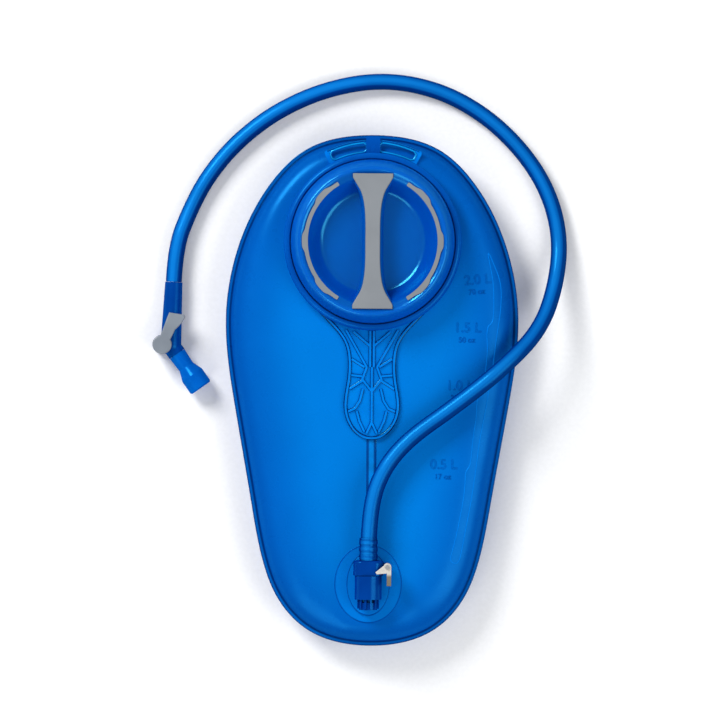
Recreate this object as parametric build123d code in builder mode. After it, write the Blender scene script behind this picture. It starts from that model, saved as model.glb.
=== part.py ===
from build123d import *
import os
from math import atan2, cos, degrees, hypot, pi, radians, sin, tan

# Hydration bladder lying on its back: +Z is up out of the front film, +Y points to the
# fill-port end, and the origin is on the floor under the middle of the bag.

os.makedirs("parts", exist_ok=True)

# ---------------------------------------------------------------- driving dimensions (mm)
# Bag
film = 0.8                      # thickness of each film
weld_width = 3.0                # welded rim all round the bag
seam_z = 20.0                   # plane in which the two films are welded together
crown_z = 34.0                  # flat top of the front film
front_edge_r = 12.0             # rounding of the inflated front along its border
back_edge_r = 18.0              # rounding of the back, which lies on the floor
bag_half_outline = [            # (half width, y) from the top centre to the bottom centre
    (0.0, 159.0),
    (42.8, 149.1),
    (62.3, 130.5),
    (82.2, 93.3),
    (91.1, 43.7),
    (85.9, -5.9),
    (75.0, -67.9),
    (67.6, -105.1),
    (57.7, -129.9),
    (40.3, -148.5),
    (0.0, -159.0),
]
# Fill port and base plate
port_y = 92.2
port_bore_r = 44.5              # clear opening of the neck
neck_r = 47.0
neck_bottom_z = 28.0
neck_top_z = 48.0
plate_thickness = 1.4
rib_height = 1.2
collar_r = 55.0
disc_r = collar_r - 0.5         # the base plate's disc, just inside the collar's wall
collar_inner_r = 51.2
collar_top_z = 45.0
flange_thickness = 2.0
plate_top_z = crown_z + plate_thickness
flange_top_z = plate_top_z + flange_thickness
weld_gap = 0.05                 # clearance of welded stubs in their holes
slot_inner_r = 56.3             # hanging slots above the collar
slot_outer_r = 61.2
hanger_outer_r = 63.5
slot_angles = (4.5, 25.5)       # each slot, measured from the bag's centre line
hanger_half_angle = 29.0
tab_width = 8.7
tab_outer_r = 65.5

# Cap
cap_r = 50.6
cap_top_z = 55.4
skirt_inner_r = 48.9
skirt_bottom_z = 38.6
dish_floor_z = 42.4             # bottom of the two finger pockets
dish_floor_r = 32.0
dish_top_r = 39.6
plug_top_z = 40.2
plug_bottom_z = 33.5
plug_r = 43.9
seal_z = 36.5
seal_r = 42.95                  # centre line of the O-ring
seal_section_r = 1.2
thread_lead = 24.0              # four starts, each a quarter turn apart
thread_depth = 1.2
thread_height = 1.4
thread_arc = 60.0               # degrees covered by each thread lug
thread_z = 40.9
bar_half_outline = [            # hourglass grip: (half width, half length)
    (12.4, 41.7),
    (12.4, 39.4),
    (9.9, 35.0),
    (7.7, 31.2),
    (5.9, 25.6),
    (4.8, 17.5),
    (4.5, 0.0),
]
bar_seat_z = 53.6
bar_top_z = 56.8
grip_inner_r = 40.0
grip_outer_r = 42.4
grip_bump_height = 1.3
grip_depth = 1.6
grip_half_angle = 59.0
grip_bump_half_angle = 10.0
grip_bump_angles = (-42.0, 0.0, 42.0)

# Outlet valve and quick connector
outlet_x = -1.5
outlet_y = -120.0
oval_rx = 20.1
oval_ry = 23.5
inner_oval_rx = 13.3
inner_oval_ry = 19.0
axis_z = 45.0                   # height of the outlet barrel, the connector and the hose end
mouth_y = -114.5
barrel_r = 8.3
barrel_length = 14.5
tail_r = 5.6
tail_end_y = -135.5
seat_bore_r = 4.8
chamber_r = 5.8
stub_y = -125.0
stub_r = 6.4
stub_bore_r = 3.6
poppet_r = 5.4
poppet_face_y = -121.8
head_y = -105.0
head_half_width = 9.2
head_half_height = 6.5
spigot_r = 4.7
spigot_length = 7.1
bore_r = 2.6
lever_pivot = (10.3, -108.8)    # release lever's pin, beside the connector's head
lever_hub_r = 2.4
lever_top_z = 53.6
pin_r = 0.9

# Hose: corner points of its route, from the connector to the shutoff valve
hose_r = 5.0
hose_bore_r = 3.2
hose_route = [
    (-1.5, -105.0, 45.0),
    (-1.5, -79.5, 45.0),
    (4.5, -53.0, 44.5),
    (21.0, -31.0, 44.0),
    (52.0, -9.0, 44.0),
    (82.0, 15.0, 44.5),
    (105.0, 39.0, 30.0),
    (115.0, 68.0, 14.0),
    (117.5, 97.0, 5.2),
    (110.0, 125.0, 5.2),
    (94.0, 150.0, 5.2),
    (71.0, 172.0, 5.2),
    (42.0, 188.0, 5.2),
    (8.0, 194.5, 5.2),
    (-26.0, 189.5, 5.2),
    (-58.0, 176.0, 5.2),
    (-84.0, 156.5, 5.2),
    (-103.0, 134.0, 5.2),
    (-114.5, 112.0, 5.2),
    (-123.2, 88.5, 7.8),
    (-124.1, 67.1, 7.8),
]
collar_sleeve_r = 5.75

# Shutoff valve and bite valve
valve_z = 7.8
elbow = (-125.7, 27.5)          # where the valve's two passages meet
spindle_centre = (-130.9, 27.9)
valve_end_r = 5.4               # at the hose
valve_root_r = 6.5              # at the elbow
boss_r = 5.8
boss_top_z = 14.4
spindle_r = 4.2
running_gap = 0.05
lever_tip = (-121.8, 47.3)
lever_thickness = 2.8
bite_end = (-106.7, 0.9)
neck_start = 6.8                # from the elbow to the bite valve's edge
spout_r = 3.4
bite_neck_r = 5.0
bite_mouth_r = 7.45


def report(name, part):
    part.label = name
    export_step(part, f"parts/{name}.step")
    print(f"{name}: {len(part.solids())} solids, {part.volume:.1f} mm3")


# ---------------------------------------------------------------- bag films
def bag_section(height, inset):
    """A closed face of the bag's outline at one height, moved inwards by inset."""
    left_side = [(-x, y) for x, y in reversed(bag_half_outline[1:-1])]
    ring = bag_half_outline + left_side
    points = []
    for number, here in enumerate(ring):
        before = ring[number - 1]
        after = ring[(number + 1) % len(ring)]
        along_x = after[0] - before[0]
        along_y = after[1] - before[1]
        size = hypot(along_x, along_y)
        points.append((here[0] + inset * along_y / size, here[1] - inset * along_x / size))
    with BuildSketch(Plane.XY.offset(height)) as section:
        with BuildLine():
            Spline(*points, periodic=True)
        make_face()
    return section.sketch


def half_pillow(base_z, rise, inset, edge_r):
    """A slab on the bag's outline with its far edge rounded."""
    with BuildPart() as pillow:
        extrude(bag_section(base_z, inset), amount=rise)
        far_edges = pillow.edges().group_by(Axis.Z)[-1 if rise > 0 else 0]
        fillet(far_edges, edge_r)
    return pillow.part


with BuildPart() as front_film:
    extrude(bag_section(seam_z, 0), amount=film)
    add(half_pillow(seam_z + film / 2, crown_z - seam_z - film / 2, weld_width, front_edge_r))
    add(half_pillow(seam_z, crown_z - film - seam_z, weld_width + film, front_edge_r - film / 2),
        mode=Mode.SUBTRACT)
    with BuildSketch(Plane.XY.offset(crown_z - 2 * film)):
        with Locations((0, port_y)):
            Circle(neck_r + weld_gap)
        with Locations((outlet_x, stub_y)):
            Circle(stub_r + weld_gap)
    extrude(amount=3 * film, mode=Mode.SUBTRACT)
report("front_film", front_film.part)

with BuildPart() as back_film:
    extrude(bag_section(seam_z - film, 0), amount=film)
    add(half_pillow(seam_z - film / 2, film / 2 - seam_z, weld_width, back_edge_r))
    add(half_pillow(seam_z, film - seam_z, weld_width + film, back_edge_r - film / 2),
        mode=Mode.SUBTRACT)
report("back_film", back_film.part)

# Centre baffle: a film web welded between front and back below the handle
baffle_top_y = -30.0
baffle_bottom_y = -88.0
with BuildPart() as center_baffle:
    with BuildSketch(Plane.XY.offset(film)):
        with Locations((0, (baffle_top_y + baffle_bottom_y) / 2)):
            SlotOverall(baffle_top_y - baffle_bottom_y, 6.8, rotation=90)
    extrude(amount=0.6)
    with BuildSketch(Plane.XY.offset(film)):
        with Locations((0, (baffle_top_y + baffle_bottom_y) / 2)):
            Rectangle(film, baffle_top_y - baffle_bottom_y - 7)
    extrude(amount=crown_z - 2 * film)
    with BuildSketch(Plane.XY.offset(crown_z - film - 0.6)):
        with Locations((0, (baffle_top_y + baffle_bottom_y) / 2)):
            SlotOverall(baffle_top_y - baffle_bottom_y, 6.8, rotation=90)
    extrude(amount=0.6)
report("center_baffle", center_baffle.part)


# ---------------------------------------------------------------- fill port
def ring_sector(inner_r, outer_r, middle_angle, half_angle, rounding=0.0):
    """A face between two arcs about the fill port, centred on middle_angle."""
    start = middle_angle - half_angle
    with BuildSketch() as sector:
        with BuildLine():
            inner = CenterArc((0, 0), inner_r, start, 2 * half_angle)
            outer = CenterArc((0, 0), outer_r, start, 2 * half_angle)
            Line(inner @ 0, outer @ 0)
            Line(inner @ 1, outer @ 1)
        make_face()
        if rounding:
            fillet(sector.vertices(), rounding)
    return sector.sketch


handle_half_outline = [         # (half width, y) of the clear handle, from the collar down
    (35.8, 52.1),
    (27.6, 43.7),
    (21.0, 36.5),
    (16.2, 28.5),
    (14.4, 19.0),
    (14.7, 8.0),
    (16.4, -3.0),
    (16.8, -11.0),
    (14.6, -19.5),
    (9.0, -26.8),
    (0.0, -30.2),
]


def handle_face(inset):
    """The handle's outline, drawn inset from its edge."""
    points = [(x - inset, y) for x, y in handle_half_outline[:-1]]
    points.append((0.0, handle_half_outline[-1][1] + inset))
    with BuildSketch() as face:
        with BuildLine():
            Spline(*points, tangents=((-1, -1), (-1, 0)))
            mirror(about=Plane.YZ)
            Line((-points[0][0], points[0][1]), points[0])
        make_face()
    return face.sketch


handle_ribs = [                 # left-hand ribs as runs of points; each has its mirror image
    [(-1.1, 37.0), (-1.1, 14.5)],
    [(-11.5, 36.5), (-1.1, 27.5)],
    [(-16.2, 37.5), (-3.2, 14.5)],
    [(-3.2, 14.5), (-6.0, 7.0), (0.0, -0.5)],
    [(-12.5, 19.5), (-4.6, 14.5)],
    [(-12.8, 9.5), (-6.0, 8.8)],
    [(-13.8, 1.0), (-6.0, 6.0)],
    [(-5.6, 1.0), (-7.4, -6.4), (-10.4, -11.2), (-14.5, -13.0)],
    [(-9.2, -12.8), (-7.6, -19.0), (-4.5, -25.5)],
    [(0.0, -0.5), (0.0, -19.8)],
    [(0.0, -19.8), (-3.2, -26.6)],
    [(0.0, 14.5), (0.0, -0.5)],
]
rib_width = 1.3

def handle_rib_faces():
    """Both halves of the handle's ribs as one flat face."""
    with BuildSketch() as ribs:
        for run in handle_ribs:
            with BuildLine():
                Polyline(*run)
            trace(line_width=rib_width)
        mirror(about=Plane.YZ)
    return ribs.sketch


slot_middle = (slot_angles[0] + slot_angles[1]) / 2
slot_half = (slot_angles[1] - slot_angles[0]) / 2
with BuildPart() as port_base_plate:
    with BuildSketch(Plane.XY.offset(crown_z)):
        with Locations((0, port_y)):
            Circle(disc_r)
        add(handle_face(0.0))
    extrude(amount=plate_thickness)
    with BuildSketch(Plane.XY.offset(plate_top_z)):
        add(handle_face(0.0))
        add(handle_face(rib_width), mode=Mode.SUBTRACT)
        add(handle_rib_faces())
        with Locations((0, port_y)):
            Circle(collar_r + 0.3, mode=Mode.SUBTRACT)
    extrude(amount=rib_height)
    with BuildSketch(Plane.XY.offset(crown_z - 1)):
        with Locations((0, port_y)):
            Circle(neck_r + weld_gap)
    extrude(amount=plate_thickness + 2, mode=Mode.SUBTRACT)
report("port_base_plate", port_base_plate.part)

# the hanger meets the disc under the collar, where the two are welded edge to edge
with BuildPart() as port_hanger:
    with BuildSketch(Plane.XY.offset(crown_z)):
        with Locations((0, port_y)):
            add(ring_sector(collar_r - 3, hanger_outer_r, 90, hanger_half_angle, 2.0))
            Circle(disc_r, mode=Mode.SUBTRACT)
    extrude(amount=plate_thickness)
    with BuildSketch(Plane.XY.offset(crown_z - 1)):
        with Locations((0, port_y)):
            for side in (-1, 1):
                add(ring_sector(slot_inner_r, slot_outer_r, 90 + side * slot_middle, slot_half, 1.6))
    extrude(amount=plate_thickness + 2, mode=Mode.SUBTRACT)
report("port_hanger", port_hanger.part)

# the centre tab stands on the hanger between the slots, against the collar's outer wall
with BuildPart() as port_center_tab:
    with BuildSketch(Plane.XY.offset(plate_top_z)):
        with Locations((0, port_y + (collar_r + tab_outer_r) / 2 - 1)):
            RectangleRounded(tab_width, tab_outer_r - collar_r + 2, 1.2)
        with Locations((0, port_y)):
            Circle(collar_r, mode=Mode.SUBTRACT)
    extrude(amount=flange_thickness)
report("port_center_tab", port_center_tab.part)


def port_profile_plane():
    """A plane whose x is the distance from the port's axis and whose y is the height."""
    return Plane(origin=(0, port_y, 0), x_dir=(1, 0, 0), z_dir=(0, -1, 0))


port_axis = Axis((0, port_y, 0), (0, 0, 1))


def thread_lug(radius, inwards, start_angle, height):
    """One helical thread lug, swept along a quarter turn's share of the helix."""
    plane = Plane(origin=(0, port_y, height), x_dir=(cos(radians(start_angle)), sin(radians(start_angle)), 0))
    rise = thread_lead * thread_arc / 360
    path = plane * Helix(thread_lead, rise, radius)
    side = -1 if inwards else 1
    root = path @ 0
    face_plane = Plane(origin=root, x_dir=(plane.x_dir.X, plane.x_dir.Y, 0), z_dir=path % 0)
    with BuildPart() as lug:
        with BuildSketch(face_plane):
            with Locations((side * (thread_depth - 0.3) / 2, 0)):
                Rectangle(thread_depth + 0.3, thread_height)
        sweep(path=path, is_frenet=True)
    return lug.part


with BuildPart() as fill_port_ring:
    with BuildSketch(port_profile_plane()):
        with BuildLine():
            Polyline(
                (port_bore_r, neck_bottom_z),
                (neck_r, neck_bottom_z),
                (neck_r, plate_top_z),
                (collar_r, plate_top_z),
                (collar_r, collar_top_z - 3.0),
            )
            EllipticalCenterArc((collar_r - 2.6, collar_top_z - 3.0), 2.6, 3.0, start_angle=0, arc_size=90)
            Polyline(
                (collar_r - 2.6, collar_top_z),
                (collar_inner_r + 0.4, collar_top_z),
                (collar_inner_r, collar_top_z - 0.4),
                (collar_inner_r, flange_top_z),
                (neck_r, flange_top_z),
                (neck_r, neck_top_z - 0.8),
                (neck_r - 0.8, neck_top_z),
                (port_bore_r + 0.8, neck_top_z),
                (port_bore_r, neck_top_z - 0.8),
                (port_bore_r, neck_bottom_z),
            )
        make_face()
    revolve(axis=port_axis)
    for start in range(0, 360, 90):
        add(thread_lug(neck_r, False, start, thread_z))
report("fill_port_ring", fill_port_ring.part)


# ---------------------------------------------------------------- cap
def hourglass(height, extra):
    """The grip bar's outline, widened by extra on both sides."""
    right = [(x + extra, y) for x, y in bar_half_outline]
    right += [(x, -y) for x, y in reversed(right[:-1])]
    with BuildSketch(Plane(origin=(0, port_y, height))) as face:
        with BuildLine():
            Polyline((0, right[0][1]), right[0], right[1])
            Spline(*right[1:-1])
            Polyline(right[-2], right[-1], (0, right[-1][1]))
            mirror(about=Plane.YZ)
        make_face()
    return face.sketch


def grip_radius(angle):
    """The grip arc's outer radius, with a smooth swell at each bump."""
    radius = grip_outer_r
    for middle in grip_bump_angles:
        share = min(1.0, abs(angle - middle) / grip_bump_half_angle)
        radius += grip_bump_height * (1 - share ** 4) ** 2
    return radius


def grip_outline(side):
    """A grip arc with its three outward bumps; side is 0 on the right and 180 on the left."""
    steps = 40
    outer_points = []
    for step in range(steps + 1):
        angle = grip_half_angle * (2 * step / steps - 1)
        turn = radians(side + angle)
        outer_points.append((grip_radius(angle) * cos(turn), grip_radius(angle) * sin(turn)))
    with BuildSketch() as face:
        with BuildLine():
            inner = CenterArc((0, 0), grip_inner_r, side - grip_half_angle, 2 * grip_half_angle)
            outer = Spline(*outer_points)
            Line(inner @ 0, outer @ 0)
            Line(inner @ 1, outer @ 1)
        make_face()
        fillet(face.vertices(), 0.6)
    return face.sketch


with BuildPart() as bar_core:
    loft([hourglass(plug_top_z + 0.5, 2.2), hourglass(bar_seat_z, 0.9)])
    with Locations((0, port_y, (plug_top_z + bar_seat_z) / 2)):
        Cylinder(plug_r - 1.0, bar_seat_z - plug_top_z + 4, mode=Mode.INTERSECT)

with BuildPart() as cap_shell:
    with BuildSketch(port_profile_plane()):
        with BuildLine():
            Polyline(
                (0, plug_top_z),
                (0, dish_floor_z),
                (dish_floor_r - 3, dish_floor_z),
            )
            Spline(
                (dish_floor_r - 3, dish_floor_z),
                (dish_floor_r + 1.2, dish_floor_z + 1.6),
                (dish_top_r - 0.8, cap_top_z - 1.4),
                (dish_top_r + 1.2, cap_top_z),
                tangents=((1, 0), (1, 0)),
            )
            Line((dish_top_r + 1.2, cap_top_z), (cap_r - 6.2, cap_top_z))
            EllipticalCenterArc((cap_r - 6.2, cap_top_z - 5.6), 6.2, 5.6, start_angle=0, arc_size=90)
            Polyline(
                (cap_r, cap_top_z - 5.6),
                (cap_r, skirt_bottom_z),
                (skirt_inner_r, skirt_bottom_z),
                (skirt_inner_r, neck_top_z + 0.8),
                (plug_r, neck_top_z + 0.8),
                (plug_r, plug_top_z),
                (plug_r - 1.9, plug_top_z),
                (plug_r - 1.9, cap_top_z - 3.2),
                (plug_r - 3.0, cap_top_z - 3.2),
                (dish_floor_r + 4.0, plug_top_z),
                (0, plug_top_z),
            )
        make_face()
    revolve(axis=port_axis)
    add(bar_core.part)
    for side in (0, 180):
        with BuildSketch(Plane(origin=(0, port_y, cap_top_z - grip_depth))):
            add(grip_outline(side))
        extrude(amount=grip_depth + 1, mode=Mode.SUBTRACT)
    extrude(hourglass(bar_seat_z, 0.0), amount=cap_top_z - bar_seat_z + 1, mode=Mode.SUBTRACT)
    for start in range(0, 360, 90):
        add(thread_lug(skirt_inner_r, True, start, thread_z - thread_height - 0.4))
report("cap_shell", cap_shell.part)

with BuildPart() as cap_inner_plug:
    with BuildSketch(port_profile_plane()):
        with BuildLine():
            Polyline(
                (0, plug_top_z),
                (plug_r, plug_top_z),
                (plug_r, seal_z + 1.5),
                (seal_r - seal_section_r - 0.25, seal_z + 1.5),
                (seal_r - seal_section_r - 0.25, seal_z - 1.5),
                (plug_r, seal_z - 1.5),
                (plug_r, plug_bottom_z + 0.8),
                (plug_r - 0.8, plug_bottom_z),
                (plug_r - 4.4, plug_bottom_z),
                (plug_r - 4.4, plug_top_z - 1.6),
                (0, plug_top_z - 1.6),
                (0, plug_top_z),
            )
        make_face()
    revolve(axis=port_axis)
report("cap_inner_plug", cap_inner_plug.part)

with BuildPart() as cap_seal:
    with BuildSketch(port_profile_plane()):
        with Locations((seal_r, seal_z)):
            Circle(seal_section_r)
    revolve(axis=port_axis)
report("cap_seal", cap_seal.part)

with BuildPart() as cap_grip_bar:
    extrude(hourglass(bar_seat_z, 0.0), amount=bar_top_z - bar_seat_z)
    fillet(cap_grip_bar.faces().sort_by(Axis.Z)[-1].edges(), 0.6)
report("cap_grip_bar", cap_grip_bar.part)

for side, name in ((0, "cap_grip_arc_right"), (180, "cap_grip_arc_left")):
    with BuildPart() as cap_grip_arc:
        with BuildSketch(Plane(origin=(0, port_y, cap_top_z - grip_depth))):
            add(grip_outline(side))
        extrude(amount=grip_depth + 0.5)
    report(name, cap_grip_arc.part)


# ---------------------------------------------------------------- outlet valve
with BuildPart() as outlet_base_plate:
    with BuildSketch(Plane.XY.offset(crown_z)):
        with Locations((outlet_x, outlet_y)):
            Ellipse(oval_rx, oval_ry)
    extrude(amount=1.0)
    with BuildSketch(Plane.XY.offset(crown_z + 1.0)):
        with Locations((outlet_x, outlet_y)):
            Ellipse(inner_oval_rx, inner_oval_ry)
    extrude(amount=1.0)
    fillet(outlet_base_plate.edges().group_by(Axis.Z)[-1], 0.6)
    with Locations((outlet_x, stub_y, crown_z)):
        Cylinder(stub_r + weld_gap, 10, mode=Mode.SUBTRACT)
report("outlet_base_plate", outlet_base_plate.part)


def outlet_plane(y):
    """A plane across the outlet's axis; its z points along -Y, into the barrel."""
    return Plane(origin=(outlet_x, y, axis_z), x_dir=(1, 0, 0), z_dir=(0, -1, 0))


base_top_z = crown_z + 2.0
with BuildPart() as outlet_port_body:
    with BuildSketch(outlet_plane(mouth_y)):
        Circle(barrel_r)
    extrude(amount=barrel_length)
    with BuildSketch(outlet_plane(mouth_y - barrel_length)):
        Circle(tail_r)
    extrude(amount=mouth_y - barrel_length - tail_end_y)
    with BuildSketch(outlet_plane(mouth_y - 9.5)):
        with PolarLocations(tail_r + 0.4, 12, start_angle=15):
            Rectangle(1.6, 1.2)
    extrude(amount=mouth_y - 9.5 - tail_end_y - 0.8)
    with BuildSketch(Plane.XY.offset(base_top_z + 0.1)):
        with Locations((outlet_x, (mouth_y + tail_end_y) / 2 - 1)):
            RectangleRounded(11.0, 17.0, 2.0)
    extrude(amount=axis_z - base_top_z - 4)
    with BuildSketch(Plane.XY.offset(crown_z - 6.0)):
        with Locations((outlet_x, stub_y)):
            Circle(stub_r)
    extrude(amount=axis_z - crown_z)
    with BuildSketch(outlet_plane(mouth_y)):
        Circle(seat_bore_r)
    extrude(amount=4.0, mode=Mode.SUBTRACT)
    with BuildSketch(outlet_plane(mouth_y - 3.0)):
        Circle(chamber_r)
    extrude(amount=13.5, mode=Mode.SUBTRACT)
    with BuildSketch(outlet_plane(mouth_y - 16.0)):
        Circle(1.5)
    extrude(amount=3.5, mode=Mode.SUBTRACT)
    with BuildSketch(Plane.XY.offset(crown_z - 7.0)):
        with Locations((outlet_x, stub_y)):
            Circle(stub_bore_r)
    extrude(amount=axis_z - crown_z + 7.0, mode=Mode.SUBTRACT)
report("outlet_port_body", outlet_port_body.part)

with BuildPart() as outlet_poppet:
    with BuildSketch(outlet_plane(poppet_face_y)):
        Circle(poppet_r)
    extrude(amount=2.0)
    fillet(outlet_poppet.edges(), 0.4)
    with BuildSketch(outlet_plane(poppet_face_y - 1.5)):
        Circle(1.2)
    extrude(amount=7.6)
report("outlet_poppet", outlet_poppet.part)

spring_start_y = poppet_face_y - 2.5
with BuildPart() as outlet_spring:
    with BuildLine() as coil:
        Helix(1.25, 5.0, 3.6, center=(outlet_x, spring_start_y, axis_z), direction=(0, -1, 0))
    with BuildSketch(Plane(origin=coil.line @ 0, z_dir=coil.line % 0)):
        Circle(0.35)
    sweep(is_frenet=True)
report("outlet_spring", outlet_spring.part)


# ---------------------------------------------------------------- quick connector
head_length = head_y - mouth_y - 0.3
with BuildPart() as connector_body:
    with BuildSketch(outlet_plane(head_y)):
        RectangleRounded(2 * head_half_width, 2 * head_half_height, 5.5)
    extrude(amount=head_length)
    fillet(connector_body.edges().group_by(Axis.Y)[-1], 1.6)
    with BuildSketch(Plane.XY.offset(axis_z - 4.0)):
        with Locations(lever_pivot):
            Circle(lever_hub_r)
        with Locations((outlet_x + head_half_width, lever_pivot[1])):
            Rectangle(5.0, 2 * lever_hub_r)
        with Locations(lever_pivot):
            Circle(pin_r + weld_gap, mode=Mode.SUBTRACT)
    extrude(amount=2.0)
    with BuildSketch(outlet_plane(head_y - head_length + 0.5)):
        Circle(spigot_r)
    extrude(amount=spigot_length + 0.8)
    with BuildSketch(outlet_plane(mouth_y - 1.0)):
        Circle(spigot_r + 1)
        Circle(spigot_r - 1.0, mode=Mode.SUBTRACT)
    extrude(amount=1.6, mode=Mode.SUBTRACT)
    with BuildSketch(outlet_plane(head_y + 12.0)):
        Circle(hose_bore_r - weld_gap)
    extrude(amount=13.0)
    with BuildSketch(outlet_plane(head_y + 12.5)):
        Circle(bore_r)
    extrude(amount=40.0, mode=Mode.SUBTRACT)
report("connector_body", connector_body.part)

with BuildPart() as connector_o_ring:
    with BuildSketch(Plane(origin=(outlet_x, mouth_y - 1.8, axis_z))):
        with Locations((spigot_r - 0.5, 0)):
            Circle(0.45)
    revolve(axis=Axis((outlet_x, mouth_y - 1.8, axis_z), (0, 1, 0)))
report("connector_o_ring", connector_o_ring.part)

with BuildPart() as release_lever_pin:
    with BuildSketch(Plane.XY.offset(axis_z - 4.0)):
        with Locations(lever_pivot):
            Circle(pin_r)
    extrude(amount=lever_top_z - axis_z + 4.2)
    with BuildSketch(Plane.XY.offset(lever_top_z + 0.2)):
        with Locations(lever_pivot):
            Circle(1.4)
    extrude(amount=0.5)
report("release_lever_pin", release_lever_pin.part)

with BuildPart() as release_spring:
    with BuildLine() as coil:
        Helix(0.7, 1.8, 1.55, center=(lever_pivot[0], lever_pivot[1], axis_z - 1.65))
    with BuildSketch(Plane(origin=coil.line @ 0, z_dir=coil.line % 0)):
        Circle(0.22)
    sweep(is_frenet=True)
report("release_spring", release_spring.part)

# Release lever: hub on the pin, a latch arm over the head and a thumb pad beside the barrel
hub_bottom_z = axis_z + 0.6
with BuildPart() as connector_release_lever:
    with BuildSketch(Plane.XY.offset(hub_bottom_z)):
        with Locations(lever_pivot):
            Circle(lever_hub_r)
        with BuildLine():
            Polyline(
                (lever_pivot[0] - 0.4, lever_pivot[1]),
                (lever_pivot[0] - 0.4, lever_pivot[1] - 11.6),
                (lever_pivot[0] + 2.3, lever_pivot[1] - 11.6),
                (lever_pivot[0] + 2.4, lever_pivot[1]),
                close=True,
            )
        make_face()
    extrude(amount=lever_top_z - hub_bottom_z)
    with BuildSketch(Plane.XY.offset(axis_z + head_half_height + 0.4)):
        with BuildLine():
            Polyline(
                (lever_pivot[0] - 2.2, lever_pivot[1] + 1.0),
                (lever_pivot[0] - 7.4, lever_pivot[1] - 3.2),
                (lever_pivot[0] - 6.6, lever_pivot[1] - 4.4),
                (lever_pivot[0], lever_pivot[1] - 3.8),
                (lever_pivot[0], lever_pivot[1] + 1.0),
                close=True,
            )
        make_face()
    extrude(amount=lever_top_z - axis_z - head_half_height - 0.4)
    fillet(connector_release_lever.faces().sort_by(Axis.Z)[-1].edges(), 0.35)
    with Locations((lever_pivot[0], lever_pivot[1], lever_top_z)):
        Cylinder(pin_r + running_gap, 30, mode=Mode.SUBTRACT)
report("connector_release_lever", connector_release_lever.part)


# ---------------------------------------------------------------- drink hose
def corner_radii(route):
    """Each corner's arc: 0.45 of its shorter run over the tangent of half its turn."""
    radii = []
    for before, here, after in zip(route, route[1:], route[2:]):
        run_in = Vector(here) - Vector(before)
        run_out = Vector(after) - Vector(here)
        half_turn = radians(run_in.get_angle(run_out)) / 2
        radii.append(0.45 * min(run_in.length, run_out.length) / tan(half_turn))
    return radii


radii = corner_radii(hose_route)
print("hose radii:", [round(radius) for radius in radii])
with BuildPart() as drink_hose:
    with BuildLine() as hose_path:
        FilletPolyline(*hose_route, radius=radii)
    with BuildSketch(Plane(origin=hose_route[0], z_dir=(0, 1, 0))):
        Circle(hose_r)
        Circle(hose_bore_r, mode=Mode.SUBTRACT)
    sweep()
report("drink_hose", drink_hose.part)
hose_length = sum(edge.length for edge in hose_path.edges())
section_area = pi * (hose_r ** 2 - hose_bore_r ** 2)
print(f"hose length {hose_length:.1f} mm, section times length {section_area * hose_length:.1f} mm3")

with BuildPart() as hose_collar:
    with BuildSketch(outlet_plane(head_y + 14.0)):
        Circle(collar_sleeve_r - 0.3)
        Circle(hose_r + running_gap, mode=Mode.SUBTRACT)
    extrude(amount=13.8)
    for ridge in range(3):
        with BuildSketch(outlet_plane(head_y + 12.6 - 4.4 * ridge)):
            Circle(collar_sleeve_r)
            Circle(hose_r + running_gap, mode=Mode.SUBTRACT)
        extrude(amount=2.6)
report("hose_collar", hose_collar.part)


# ---------------------------------------------------------------- shutoff valve
hose_end = Vector(*hose_route[-1])
elbow_point = Vector(elbow[0], elbow[1], valve_z)
bite_end_point = Vector(bite_end[0], bite_end[1], valve_z)
outlet_direction = (bite_end_point - elbow_point).normalized()
inlet_length = (elbow_point - hose_end).length
outlet_length = (bite_end_point - elbow_point).length
inlet_plane = Plane(origin=hose_end, x_dir=(0, 0, 1), z_dir=elbow_point - hose_end)
outlet_way = Plane(origin=elbow_point, x_dir=(0, 0, 1), z_dir=outlet_direction)

with BuildPart() as shutoff_body:
    with BuildSketch(inlet_plane.offset(0.2)):
        Circle(valve_end_r)
    with BuildSketch(inlet_plane.offset(inlet_length)):
        Circle(valve_root_r)
    loft()
    with Locations(elbow_point):
        Sphere(valve_root_r)
    with BuildSketch(outlet_way):
        Circle(5.6)
    extrude(amount=neck_start - 0.2)
    with BuildSketch(outlet_way):
        Circle(spout_r)
    extrude(amount=outlet_length - 9.0)
    with BuildSketch(Plane.XY.offset(1.4)):
        with Locations(spindle_centre):
            Circle(boss_r)
        with Locations(((spindle_centre[0] + elbow[0]) / 2, spindle_centre[1])):
            Rectangle(elbow[0] - spindle_centre[0], 2 * boss_r - 1.0)
    extrude(amount=boss_top_z - 1.4)
    with BuildSketch(inlet_plane.offset(-1)):
        Circle(bore_r)
    extrude(amount=inlet_length + 1.0, mode=Mode.SUBTRACT)
    with BuildSketch(outlet_way):
        Circle(2.2)
    extrude(amount=outlet_length, mode=Mode.SUBTRACT)
    with Locations(elbow_point):
        Sphere(bore_r, mode=Mode.SUBTRACT)
    with BuildSketch(Plane.XY.offset(2.8)):
        with Locations(spindle_centre):
            Circle(spindle_r + running_gap)
    extrude(amount=boss_top_z, mode=Mode.SUBTRACT)
report("shutoff_body", shutoff_body.part)

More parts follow.
